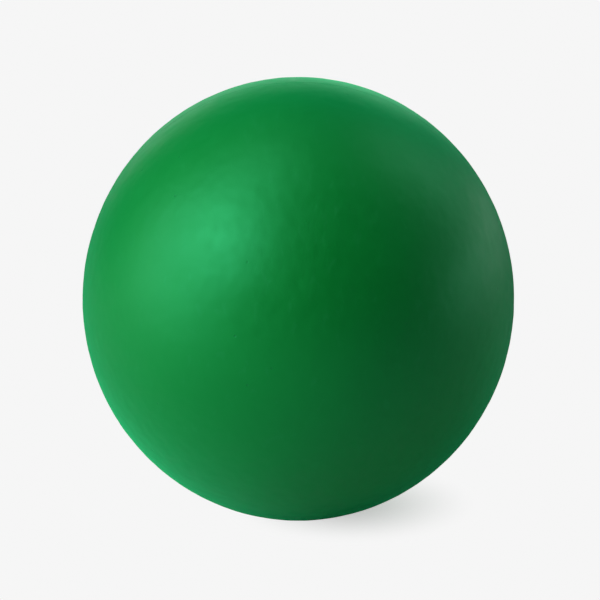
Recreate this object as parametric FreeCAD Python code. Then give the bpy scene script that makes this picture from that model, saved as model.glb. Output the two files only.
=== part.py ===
"""Moulded foam stress ball: one soft foam body inside a bonded skin that was made in two halves.

The ball is very slightly taller (Z) than it is wide (X and Y). Its mould parted on the plane Y = 0, so the
skin is a front half, towards -Y, and a rear half, towards +Y. The foam rose between the halves and filled
the parting line as a thin flash, which was trimmed level with the outside. All sizes are in millimetres,
and the origin is at the ball's centre.
"""

import FreeCAD, Part
import math
import os

# Driving dimensions
BALL_WIDTH = 63.0  # across X and across Y
BALL_HEIGHT = 64.9  # along Z
SKIN_THICKNESS = 1.2  # colour coat with the dense rind of foam bonded to it
FLASH_THICKNESS = 0.3  # foam that filled the mould's parting line
BOND_GAP = 0.1  # left between the faces of pieces that are bonded to each other

# Worked out from the driving dimensions
CORE_INSET = SKIN_THICKNESS + BOND_GAP  # from the outside of the ball to the foam
RIM_OFFSET = FLASH_THICKNESS / 2 + BOND_GAP  # from the parting plane to the rim of a half skin

CENTRE = FreeCAD.Vector(0, 0, 0)
REARWARD = FreeCAD.Vector(0, 1, 0)
FRONTWARD = FreeCAD.Vector(0, -1, 0)
EQUATOR = 0  # latitudes, in degrees from the parting plane
POLE = 90


def radius_at(inset):
    """The ball's radius across X and Y, with its surface moved in by inset."""
    return BALL_WIDTH / 2 - inset


def drawn_out(round_shape, inset):
    """A shape that is round about Y, lengthened along Z to the ball's height less inset at each end."""
    lengthen = FreeCAD.Matrix()
    lengthen.scale(1, 1, (BALL_HEIGHT / 2 - inset) / radius_at(inset))
    return round_shape.transformGeometry(lengthen)


def whole_form(inset):
    """The ball's form, with its surface moved in by inset all round."""
    sphere = Part.makeSphere(radius_at(inset), CENTRE, REARWARD, -POLE, POLE)
    return drawn_out(sphere, inset)


def half_form(inset, facing, offset):
    """The part of that form that lies beyond offset from the parting plane, on the side it faces."""
    rim_latitude = math.degrees(math.asin(offset / radius_at(inset)))
    cap = Part.makeSphere(radius_at(inset), CENTRE, facing, rim_latitude, POLE)
    return drawn_out(cap, inset)


def make_foam_core():
    """The foam body, with the flash that stands out of it all round in the parting line."""
    flash_start = FRONTWARD * (FLASH_THICKNESS / 2)
    flash = Part.makeCylinder(radius_at(0), FLASH_THICKNESS, flash_start, REARWARD)
    return whole_form(CORE_INSET).fuse(drawn_out(flash, 0))


def make_half_skin(facing):
    """One half of the skin, whose rim stops just short of the flash."""
    hollow = half_form(SKIN_THICKNESS, facing, EQUATOR)
    return half_form(0, facing, RIM_OFFSET).cut(hollow)


def main():
    pieces = {
        "foam_core": make_foam_core(),
        "front_skin": make_half_skin(FRONTWARD),
        "rear_skin": make_half_skin(REARWARD),
    }
    os.makedirs("parts", exist_ok=True)
    for node, shape in pieces.items():
        shape.exportStep(f"parts/{node}.step")
        print(node, len(shape.Solids), "solid", round(shape.Volume, 2), "mm3", shape.isValid())


main()
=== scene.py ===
"""A squeezable stress ball: a moulded foam core inside a satin green coat in two halves.

All lengths are in metres, and MM turns millimetres into them."""

import math
import random

import bmesh
import bpy
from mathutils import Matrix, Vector


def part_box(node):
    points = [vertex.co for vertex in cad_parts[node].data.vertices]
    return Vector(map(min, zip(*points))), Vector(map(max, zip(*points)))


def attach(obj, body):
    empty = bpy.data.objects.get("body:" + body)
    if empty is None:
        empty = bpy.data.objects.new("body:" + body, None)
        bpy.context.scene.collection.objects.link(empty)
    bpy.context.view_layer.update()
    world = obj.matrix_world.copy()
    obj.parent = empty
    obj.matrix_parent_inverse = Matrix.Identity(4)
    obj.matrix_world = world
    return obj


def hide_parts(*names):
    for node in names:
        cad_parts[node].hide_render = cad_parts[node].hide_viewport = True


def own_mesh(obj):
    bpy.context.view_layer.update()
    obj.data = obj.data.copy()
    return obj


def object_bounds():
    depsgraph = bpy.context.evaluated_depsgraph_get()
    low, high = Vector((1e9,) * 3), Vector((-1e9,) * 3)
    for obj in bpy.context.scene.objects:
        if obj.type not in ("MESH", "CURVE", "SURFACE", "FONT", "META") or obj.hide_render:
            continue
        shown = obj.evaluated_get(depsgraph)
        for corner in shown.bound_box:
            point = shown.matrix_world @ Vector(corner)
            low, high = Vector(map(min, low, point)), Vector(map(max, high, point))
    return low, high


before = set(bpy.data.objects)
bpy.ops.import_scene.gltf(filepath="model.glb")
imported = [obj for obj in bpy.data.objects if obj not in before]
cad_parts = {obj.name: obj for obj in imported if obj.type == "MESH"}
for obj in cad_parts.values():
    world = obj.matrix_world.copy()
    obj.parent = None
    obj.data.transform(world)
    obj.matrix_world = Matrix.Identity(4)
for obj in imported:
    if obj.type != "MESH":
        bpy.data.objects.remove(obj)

MM = 0.001

# The drawn-out ball and its layers, read from the frame
BALL_LOW, BALL_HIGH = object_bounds()
HALF_WIDTH = (BALL_HIGH.x - BALL_LOW.x) / 2
HALF_DEPTH = (BALL_HIGH.y - BALL_LOW.y) / 2
HALF_HEIGHT = (BALL_HIGH.z - BALL_LOW.z) / 2
CORE_INSET = BALL_HIGH.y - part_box("foam_core")[1].y
RIM_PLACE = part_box("rear_skin")[0].y
SKIN_THICKNESS = 1.2 * MM

# How fine the meshes are: how many times a cube's faces are halved
COAT_FINENESS = 7
LINING_FINENESS = 5
FOAM_FINENESS = 6
HALFWAY = 1e-6                  # tells a corner on the parting plane from its neighbours
FOAM_WAIST = 0.1 * MM           # the same for the foam, where lumps have moved the corners

# The moulded edge of each half: how far it stands back from the parting plane, and its rise
RIM_PROFILE = (
    (0.16 * MM, 0.007 * MM),
    (0.03 * MM, 0.004 * MM),
    (0.006 * MM, -0.010 * MM),
    (0.006 * MM, -0.12 * MM),
    (0.25 * MM, -0.14 * MM),
)
FLASH_HALF_THICKNESS = 0.14 * MM
FLASH_DEPTH = 0.16 * MM         # the flash ends this far below the coat, under the lips

# Unevenness: the name of each kind of lump, its size and height, and the detail of its noise
COAT_LUMPS = (
    ("moulding_waves", 24 * MM, 0.07 * MM, 1),
    ("orange_peel_coarse", 3.2 * MM, 0.038 * MM, 1),
    ("orange_peel_fine", 1.3 * MM, 0.032 * MM, 0),
)
FOAM_LUMPS = (
    ("foam_skin_waves", 7 * MM, 0.12 * MM, 1),
    ("foam_cells", 1.6 * MM, 0.16 * MM, 0),
)
IN_AND_OUT = 0.5                # the mid level of lumps that rise and sink alike
ONLY_IN = 1.0                   # and of lumps that stay below the surface

# Dents pressed in by handling: how many, how deep and wide, and where none are made
DENTS_PER_HALF = 16
FRONT_DENTS_SEED = 11
REAR_DENTS_SEED = 29
DENT_DEPTH = (0.012 * MM, 0.05 * MM)
DENT_RADIUS = (0.8 * MM, 2.6 * MM)
DENT_CLEAR_OF_SEAM = 4 * MM

SMOOTH_UNDER = math.radians(38)  # sharper edges than this stay sharp

# Colours
COAT_GREEN = "#0A9E33"
COAT_GREEN_DEEP = "#07962F"
RUB_GREEN = "#18A142"
# The pores' deeper green is painted shade in their pits
PORE_SHADE_GREEN = "#0F7A33"
FOAM_CREAM = "#E6DDBE"
# Painted shade for the hollows of the foam's cells
FOAM_HOLLOW_SHADE = "#CDC096"

# The coat's gloss, and the bloom that a soft-touch coat shows towards its edges
COAT_IOR = 1.65                 # a filled, pigmented coat throws back more than a clear one
COAT_ROUGHNESS = 0.46
COAT_GLOSS = 1.0
COAT_GLOSS_TINT = (0.1, 1.0, 0.48, 1.0)
COAT_BLOOM = 1.0
COAT_BLOOM_TINT = (0.02, 1.0, 0.36, 1.0)
COAT_BLOOM_ROUGHNESS = 0.5
SATIN_SPREAD = 0.035            # the roughness varies by this much either way
SATIN_SIZE = 2.2 * MM           # over patches of this size
SATIN_DETAIL = 3.0

# Marks in the coat: patches of deeper green, short dull rubs, pin pores with painted shade in them,
# and the finest peel
PATTERN_DETAIL = 2.0
MOTTLE_SIZE = 11 * MM
RUB_SIZE = (1.1 * MM, 6 * MM, 2.4 * MM)
RUB_TURN = (0.4, 0.3, 0.9)
RUB_WAVER = 0.6
RUB_FROM, RUB_FULL = 0.60, 0.74
RUB_STRENGTH = 0.5
RUB_DULLING = 0.08
PORE_SPACING = 4.2 * MM
PORE_REACH = 0.055              # a pore's radius as a share of the spacing
PORE_DEPTH = 0.05 * MM
GRAIN_SIZE = 0.8 * MM
GRAIN_HEIGHT = 0.010 * MM

# Bare foam: its open cells, and how dull it is
FOAM_CELL = 0.9 * MM
FOAM_CELL_DEPTH = 0.15 * MM
FOAM_CELL_STRENGTH = 0.6
FOAM_ROUGHNESS = 0.92
FOAM_GLOSS = 0.3

# The sockets of a mix node that carry colours, and the range that most noise lies in
COLOUR_A = 6
COLOUR_B = 7
MIXED_COLOUR = 2
NOISE_LOW, NOISE_HIGH = 0.3, 0.7

# Floor: its bounce onto the ball, and how much of the ball's shadow shows, and where
FLOOR_SIZE = 12.0
FLOOR_BOUNCE = 0.52
FLOOR_LIT_LEVEL = 0.45          # how bright a white card on the floor is under these lamps
SHADOW_SHARE = 0.5
SHADOW_CENTRE = (8 * MM, 3 * MM, 0)
SHADOW_REACH = 19 * MM

# Camera and light
CAMERA_DISTANCE = 0.6
CAMERA_ELEVATION = math.radians(16)
CAMERA_LENS = 246.3
CAMERA_AIM = Vector((0.23 * MM, 0, -0.15 * MM))
BACKGROUND_LEVEL = 0.921
LAMP_DISTANCE = 0.6


# ---------------------------------------------------------------- shaping by hand


def start_clear():
    """Leaves object mode with nothing picked."""
    if bpy.context.object and bpy.context.object.mode != "OBJECT":
        bpy.ops.object.mode_set(mode="OBJECT")
    bpy.ops.object.select_all(action="DESELECT")


def edit(piece):
    """Opens one piece for editing, with none of it picked."""
    start_clear()
    bpy.context.view_layer.objects.active = piece
    piece.select_set(True)
    bpy.ops.object.mode_set(mode="EDIT")
    bpy.ops.mesh.select_mode(type="VERT")
    bpy.ops.mesh.select_all(action="DESELECT")


def pick(piece, wanted):
    """Picks the corners of an open piece whose place passes the test, and only those."""
    bpy.ops.mesh.select_all(action="DESELECT")
    drawn = bmesh.from_edit_mesh(piece.data)
    for corner in drawn.verts:
        corner.select = wanted(corner.co)
    drawn.select_flush_mode()
    bmesh.update_edit_mesh(piece.data)


def apply_modifiers(piece):
    """Makes every modifier of a piece part of its mesh."""
    start_clear()
    bpy.context.view_layer.objects.active = piece
    piece.select_set(True)
    for modifier in list(piece.modifiers):
        bpy.ops.object.modifier_apply(modifier=modifier.name)


def ball_form(name, inset, fineness):
    """The drawn-out ball as even quads with no poles, inset below the outer surface."""
    start_clear()
    bpy.ops.mesh.primitive_cube_add(size=2)
    form = bpy.context.active_object
    form.name = name
    form.data.name = name
    quads = form.modifiers.new("quads", "SUBSURF")
    quads.levels = fineness
    quads.render_levels = fineness
    rounded = form.modifiers.new("rounded", "CAST")
    rounded.cast_type = "SPHERE"
    rounded.factor = 1.0
    rounded.size = 1.0
    rounded.use_radius_as_size = False
    apply_modifiers(form)
    edit(form)
    bpy.ops.mesh.select_all(action="SELECT")
    size = (HALF_WIDTH - inset, HALF_DEPTH - inset, HALF_HEIGHT - inset)
    bpy.ops.transform.resize(value=size, center_override=(0, 0, 0))
    start_clear()
    return form


def make_uneven(form, lumps, level):
    """Moves a form's surface in soft lumps of a real size, in and out or only in."""
    for name, size, height, depth in lumps:
        cloud = bpy.data.textures.new(name, "CLOUDS")
        cloud.noise_scale = size
        cloud.noise_depth = depth
        uneven = form.modifiers.new(name, "DISPLACE")
        uneven.texture = cloud
        uneven.texture_coords = "LOCAL"
        uneven.strength = height
        uneven.mid_level = level
    apply_modifiers(form)


def on_the_ball(turn, tilt):
    """The point of the outer surface in a direction: turn about +Z from the front, then tilt up."""
    return Vector((
        HALF_WIDTH * math.sin(turn) * math.cos(tilt),
        -HALF_DEPTH * math.cos(turn) * math.cos(tilt),
        HALF_HEIGHT * math.sin(tilt),
    ))


def press_dents(half, facing, seed):
    """Presses in the shallow dents that handling leaves in soft foam, clear of the seam."""
    chance = random.Random(seed)
    edit(half)
    made = 0
    while made < DENTS_PER_HALF:
        turn = chance.uniform(-math.pi / 2, math.pi / 2)
        tilt = math.asin(chance.uniform(-1, 1))
        depth = chance.uniform(*DENT_DEPTH)
        radius = chance.uniform(*DENT_RADIUS)
        place = on_the_ball(turn, tilt)
        place.y *= -facing
        if abs(place.y) < DENT_CLEAR_OF_SEAM:
            continue
        drawn = bmesh.from_edit_mesh(half.data)
        nearest = min(drawn.verts, key=lambda corner: (corner.co - place).length_squared)
        bpy.ops.mesh.select_all(action="DESELECT")
        nearest.select = True
        drawn.select_flush_mode()
        bmesh.update_edit_mesh(half.data)
        bpy.ops.transform.shrink_fatten(
            value=-depth,
            use_proportional_edit=True,
            proportional_edit_falloff="SMOOTH",
            proportional_size=radius,
        )
        made += 1
    start_clear()


def move_rim(stand_back, rise, facing, place):
    """Moves the picked edge loop to its distance from the parting plane, and up or down."""
    grown = 1 + rise / HALF_WIDTH
    bpy.ops.transform.resize(value=(grown, 1, grown), center_override=(0, 0, 0))
    bpy.ops.transform.translate(value=(0, facing * (stand_back - place), 0))


def shape_rim(half, facing):
    """Draws the edge of a half into the faint moulded lip at the parting line."""
    edit(half)
    pick(half, lambda place: abs(place.y) < HALFWAY)
    bpy.ops.transform.translate(value=(0, facing * RIM_PLACE, 0))
    place = RIM_PLACE
    height = 0.0
    for stand_back, rise in RIM_PROFILE:
        bpy.ops.mesh.extrude_edges_indiv()
        move_rim(stand_back, rise - height, facing, place)
        place = stand_back
        height = rise
    start_clear()


def cut_half(form, facing):
    """Keeps the half of a whole form on one side of the parting plane."""
    edit(form)
    pick(form, lambda place: facing * place.y < -HALFWAY)
    bpy.ops.mesh.delete(type="VERT")
    start_clear()


def line_half(half, facing):
    """Gives a half its inner wall and closes the rim between the two."""
    lining = ball_form("lining", SKIN_THICKNESS, LINING_FINENESS)
    cut_half(lining, facing)
    edit(lining)
    pick(lining, lambda place: abs(place.y) < HALFWAY)
    bpy.ops.transform.translate(value=(0, facing * RIM_PLACE, 0))
    bpy.ops.mesh.select_all(action="SELECT")
    bpy.ops.mesh.flip_normals()
    start_clear()
    lining.select_set(True)
    half.select_set(True)
    bpy.context.view_layer.objects.active = half
    bpy.ops.object.join()
    edit(half)
    bpy.ops.mesh.select_non_manifold()
    bpy.ops.mesh.bridge_edge_loops()
    bpy.ops.mesh.select_all(action="SELECT")
    bpy.ops.mesh.normals_make_consistent(inside=False)
    start_clear()


def smooth(piece):
    """Shades a piece smooth, apart from its real edges."""
    start_clear()
    piece.select_set(True)
    bpy.context.view_layer.objects.active = piece
    bpy.ops.object.shade_smooth_by_angle(angle=SMOOTH_UNDER)


def make_skin(name, facing, seed, coat):
    """One half of the coat: facing -1 is the finger side, +1 the palm side."""
    half = ball_form(name, 0.0, COAT_FINENESS)
    make_uneven(half, COAT_LUMPS, IN_AND_OUT)
    cut_half(half, facing)
    press_dents(half, facing, seed)
    shape_rim(half, facing)
    line_half(half, facing)
    smooth(half)
    half.data.materials.append(coat)
    return half


def make_core(name, foam):
    """The foam ball under the coat, with the thin flash that the mould leaves at its waist."""
    core = ball_form(name, CORE_INSET, FOAM_FINENESS)
    make_uneven(core, FOAM_LUMPS, ONLY_IN)
    edit(core)
    pick(core, lambda place: abs(place.y) < FOAM_WAIST)
    bpy.ops.mesh.bevel(offset=FLASH_HALF_THICKNESS, segments=1)
    bpy.ops.mesh.extrude_region()
    reach = (HALF_WIDTH - FLASH_DEPTH) / (HALF_WIDTH - CORE_INSET)
    bpy.ops.transform.resize(value=(reach, 1, reach), center_override=(0, 0, 0))
    start_clear()
    smooth(core)
    core.data.materials.append(foam)
    return core


# ---------------------------------------------------------------- materials


def linear(hex_colour):
    """An sRGB hex colour as the linear colour that shaders take."""
    parts = [int(hex_colour[i : i + 2], 16) / 255 for i in (1, 3, 5)]
    return [p / 12.92 if p <= 0.04045 else ((p + 0.055) / 1.055) ** 2.4 for p in parts] + [1.0]


def add(material, kind, settings=None, links=None):
    """Adds a node with its settings and with links from other nodes' outputs."""
    tree = material.node_tree
    node = tree.nodes.new(kind)
    for name, value in (settings or {}).items():
        if isinstance(name, int) or name in node.inputs:
            node.inputs[name].default_value = value
        else:
            setattr(node, name, value)
    for name, output in (links or {}).items():
        tree.links.new(output, node.inputs[name])
    return node


def new_material(name):
    """An empty node material and its output node."""
    material = bpy.data.materials.new(name)
    material.use_nodes = True
    material.node_tree.nodes.clear()
    return material, add(material, "ShaderNodeOutputMaterial")


def per(size):
    """The scale of a pattern whose features have this size in metres."""
    return 1 / size


def satin_green_coat():
    """In-mould polyurethane coat: satin paint over soft foam, with faint orange peel, a soft-touch
    bloom at the edges, a few pin pores where gas escaped, and dull rubs from handling."""
    material, output = new_material("satin_polyurethane_coat")
    place = add(material, "ShaderNodeTexCoord").outputs["Object"]
    broad = add(
        material, "ShaderNodeTexNoise",
        {"Scale": per(MOTTLE_SIZE), "Detail": PATTERN_DETAIL}, {"Vector": place},
    )
    mottled = add(
        material, "ShaderNodeMix",
        {
            "data_type": "RGBA",
            COLOUR_A: linear(COAT_GREEN), COLOUR_B: linear(COAT_GREEN_DEEP),
        },
        {"Factor": broad.outputs["Fac"]},
    )

    # Rubs: short streaks across the ball, a little paler and duller than the coat
    streaks = add(
        material, "ShaderNodeMapping",
        {"Rotation": RUB_TURN, "Scale": [per(size) for size in RUB_SIZE]}, {"Vector": place},
    )
    rub_noise = add(
        material, "ShaderNodeTexNoise",
        {"Scale": 1.0, "Detail": PATTERN_DETAIL, "Distortion": RUB_WAVER},
        {"Vector": streaks.outputs["Vector"]},
    )
    rubs = add(
        material, "ShaderNodeMapRange",
        {
            "interpolation_type": "SMOOTHSTEP",
            "From Min": RUB_FROM, "From Max": RUB_FULL, "To Max": RUB_STRENGTH,
        },
        {"Value": rub_noise.outputs["Fac"]},
    )
    rubbed = add(
        material, "ShaderNodeMix",
        {"data_type": "RGBA", COLOUR_B: linear(RUB_GREEN)},
        {"Factor": rubs.outputs["Result"], COLOUR_A: mottled.outputs[MIXED_COLOUR]},
    )

    # Pin pores: sparse, because the surface meets few of the pattern's points. Each pore is also
    # painted a deeper green, as painted shade in its pit.
    pores = add(material, "ShaderNodeTexVoronoi", {"Scale": per(PORE_SPACING)}, {"Vector": place})
    pore_depth = add(
        material, "ShaderNodeMapRange",
        {"From Min": 0.0, "From Max": PORE_REACH, "To Min": 1.0, "To Max": 0.0},
        {"Value": pores.outputs["Distance"]},
    )
    pores_shaded = add(
        material, "ShaderNodeMix",
        {"data_type": "RGBA", COLOUR_B: linear(PORE_SHADE_GREEN)},
        {"Factor": pore_depth.outputs["Result"], COLOUR_A: rubbed.outputs[MIXED_COLOUR]},
    )

    # Satin: duller on the rubs, and a little uneven everywhere
    satin = add(
        material, "ShaderNodeTexNoise",
        {"Scale": per(SATIN_SIZE), "Detail": SATIN_DETAIL}, {"Vector": place},
    )
    dullness = add(
        material, "ShaderNodeMapRange",
        {
            "From Min": NOISE_LOW, "From Max": NOISE_HIGH,
            "To Min": COAT_ROUGHNESS - SATIN_SPREAD, "To Max": COAT_ROUGHNESS + SATIN_SPREAD,
        },
        {"Value": satin.outputs["Fac"]},
    )
    dulled = add(
        material, "ShaderNodeMath",
        {"operation": "MULTIPLY_ADD", 1: RUB_DULLING},
        {0: rubs.outputs["Result"], 2: dullness.outputs["Result"]},
    )

    # The finest orange peel, then the pores, as bump
    grain = add(
        material, "ShaderNodeTexNoise",
        {"Scale": per(GRAIN_SIZE), "Detail": PATTERN_DETAIL}, {"Vector": place},
    )
    grain_bump = add(
        material, "ShaderNodeBump",
        {"Strength": 1.0, "Distance": GRAIN_HEIGHT}, {"Height": grain.outputs["Fac"]},
    )
    pore_bump = add(
        material, "ShaderNodeBump",
        {"Strength": 1.0, "Distance": PORE_DEPTH, "invert": True},
        {"Height": pore_depth.outputs["Result"], "Normal": grain_bump.outputs["Normal"]},
    )
    shader = add(
        material, "ShaderNodeBsdfPrincipled",
        {
            "IOR": COAT_IOR,
            "Specular IOR Level": COAT_GLOSS,
            "Specular Tint": COAT_GLOSS_TINT,
            "Sheen Weight": COAT_BLOOM,
            "Sheen Tint": COAT_BLOOM_TINT,
            "Sheen Roughness": COAT_BLOOM_ROUGHNESS,
        },
        {
            "Base Color": pores_shaded.outputs[MIXED_COLOUR],
            "Roughness": dulled.outputs["Value"],
            "Normal": pore_bump.outputs["Normal"],
        },
    )
    material.node_tree.links.new(shader.outputs["BSDF"], output.inputs["Surface"])
    return material


def cream_foam():
    """Moulded polyurethane foam: pale cream, dull, with fine open cells where it is bare, their
    hollows painted darker as painted shade.
    """
    material, output = new_material("moulded_polyurethane_foam")
    place = add(material, "ShaderNodeTexCoord").outputs["Object"]
    cells = add(
        material, "ShaderNodeTexVoronoi",
        {"Scale": per(FOAM_CELL), "feature": "DISTANCE_TO_EDGE"}, {"Vector": place},
    )
    # Painted shade: the cream is mixed darker towards the middle of each cell, where the bump sinks
    # it
    shade = add(
        material, "ShaderNodeMix",
        {"data_type": "RGBA", COLOUR_A: linear(FOAM_CREAM), COLOUR_B: linear(FOAM_HOLLOW_SHADE)},
        {"Factor": cells.outputs["Distance"]},
    )
    bump = add(
        material, "ShaderNodeBump",
        {"Strength": FOAM_CELL_STRENGTH, "Distance": FOAM_CELL_DEPTH, "invert": True},
        {"Height": cells.outputs["Distance"]},
    )
    shader = add(
        material, "ShaderNodeBsdfPrincipled",
        {"Roughness": FOAM_ROUGHNESS, "Specular IOR Level": FOAM_GLOSS},
        {"Base Color": shade.outputs[MIXED_COLOUR], "Normal": bump.outputs["Normal"]},
    )
    material.node_tree.links.new(shader.outputs["BSDF"], output.inputs["Surface"])
    return material


# ---------------------------------------------------------------- floor, light and camera


def lay_floor():
    """A plain pale floor that shows the ball's shadow close to where the ball stands."""
    start_clear()
    bpy.ops.mesh.primitive_plane_add(size=FLOOR_SIZE, location=(0, 0, BALL_LOW.z))
    floor = bpy.context.active_object
    floor.name = "floor"
    material, output = new_material("pale_paper_floor")
    pale = [BACKGROUND_LEVEL] * 3 + [1.0]
    place = add(material, "ShaderNodeTexCoord").outputs["Object"]
    near = add(
        material, "ShaderNodeVectorMath",
        {"operation": "DISTANCE", 1: SHADOW_CENTRE}, {0: place},
    )
    fade = add(
        material, "ShaderNodeMapRange",
        {
            "interpolation_type": "SMOOTHSTEP",
            "From Min": 0.0, "From Max": SHADOW_REACH, "To Min": SHADOW_SHARE, "To Max": 0.0,
        },
        {"Value": near.outputs["Value"]},
    )
    glow = add(material, "ShaderNodeEmission", {"Color": pale})
    lit = add(
        material, "ShaderNodeBsdfDiffuse",
        {"Color": [BACKGROUND_LEVEL / FLOOR_LIT_LEVEL] * 3 + [1.0]},
    )
    seen = add(
        material, "ShaderNodeMixShader",
        links={0: fade.outputs["Result"], 1: glow.outputs[0], 2: lit.outputs[0]},
    )
    bounce = add(material, "ShaderNodeBsdfDiffuse", {"Color": [FLOOR_BOUNCE] * 3 + [1.0]})
    ray = add(material, "ShaderNodeLightPath")
    surface = add(
        material, "ShaderNodeMixShader",
        links={0: ray.outputs["Is Camera Ray"], 1: bounce.outputs[0], 2: seen.outputs[0]},
    )
    material.node_tree.links.new(surface.outputs[0], output.inputs["Surface"])
    floor.data.materials.append(material)


def paint_world():
    """The camera sees a pale backdrop all round; the ball gets only the lamps' light."""
    world = bpy.data.worlds.new("pale_backdrop")
    world.use_nodes = True
    bpy.context.scene.world = world
    backdrop = world.node_tree.nodes["Background"]
    ray = add(world, "ShaderNodeLightPath")
    level = add(
        world, "ShaderNodeMapRange",
        {"To Max": BACKGROUND_LEVEL}, {"Value": ray.outputs["Is Camera Ray"]},
    )
    world.node_tree.links.new(level.outputs["Result"], backdrop.inputs["Strength"])
    backdrop.inputs["Color"].default_value = (1, 1, 1, 1)


def softbox(name, turn, tilt, width, height, brightness):
    """A flat soft lamp that faces the ball from a direction in degrees: turn from the camera's
    side towards +X, then tilt up. Brightness is how bright its face is beside a white card."""
    lamp = bpy.data.lights.new(name, "AREA")
    lamp.shape = "RECTANGLE"
    lamp.size = width
    lamp.size_y = height
    lamp.energy = brightness * math.pi * width * height
    stand = bpy.data.objects.new(name, lamp)
    bpy.context.scene.collection.objects.link(stand)
    around = math.radians(turn)
    up = math.radians(tilt)
    direction = Vector((
        math.sin(around) * math.cos(up),
        -math.cos(around) * math.cos(up),
        math.sin(up),
    ))
    stand.location = direction * LAMP_DISTANCE
    stand.rotation_euler = direction.to_track_quat("Z", "Y").to_euler()
    stand.visible_camera = False


def hang_lamps():
    """Soft studio light: a bank of boxes at the left, and weaker cards at the right and behind."""
    softbox("left_box", -80, 18, 0.44, 0.55, 1.7)
    softbox("left_front_box", -50, 37, 0.34, 0.32, 3.7)
    softbox("left_top_box", -72, 66, 0.26, 0.42, 1.4)
    softbox("left_low_card", -58, 4, 0.3, 0.22, 0.9)
    softbox("right_low_card", 118, 0, 0.8, 0.2, 1.2)
    softbox("right_top_card", 120, 38, 0.25, 0.45, 0.75)
    softbox("rear_card", 186, 8, 0.48, 0.22, 1.5)


def place_camera():
    """A long lens a little above the ball, straight in front."""
    back = Vector((0, -math.cos(CAMERA_ELEVATION), math.sin(CAMERA_ELEVATION)))
    lens = bpy.data.cameras.new("camera")
    lens.lens = CAMERA_LENS
    camera = bpy.data.objects.new("camera", lens)
    camera.location = CAMERA_AIM + back * CAMERA_DISTANCE
    camera.rotation_euler = (-back).to_track_quat("-Z", "Y").to_euler()
    bpy.context.scene.collection.objects.link(camera)
    bpy.context.scene.camera = camera
    bpy.context.scene.view_settings.view_transform = "Standard"


# ---------------------------------------------------------------- the ball


def join_to_frame(piece, node, body):
    """Puts a piece in its CAD node's place, to flatten towards its own pole in a squeeze."""
    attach(piece, body)
    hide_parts(node)
    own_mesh(piece)


def build_ball():
    """The core and the two halves of the coat."""
    coat = satin_green_coat()
    core = make_core("foam_ball", cream_foam())
    front = make_skin("front_coat", -1, FRONT_DENTS_SEED, coat)
    rear = make_skin("rear_coat", 1, REAR_DENTS_SEED, coat)
    join_to_frame(core, "foam_core", "palm_side")
    join_to_frame(front, "front_skin", "finger_side")
    join_to_frame(rear, "rear_skin", "palm_side")


place_camera()
lay_floor()
paint_world()
hang_lamps()
build_ball()
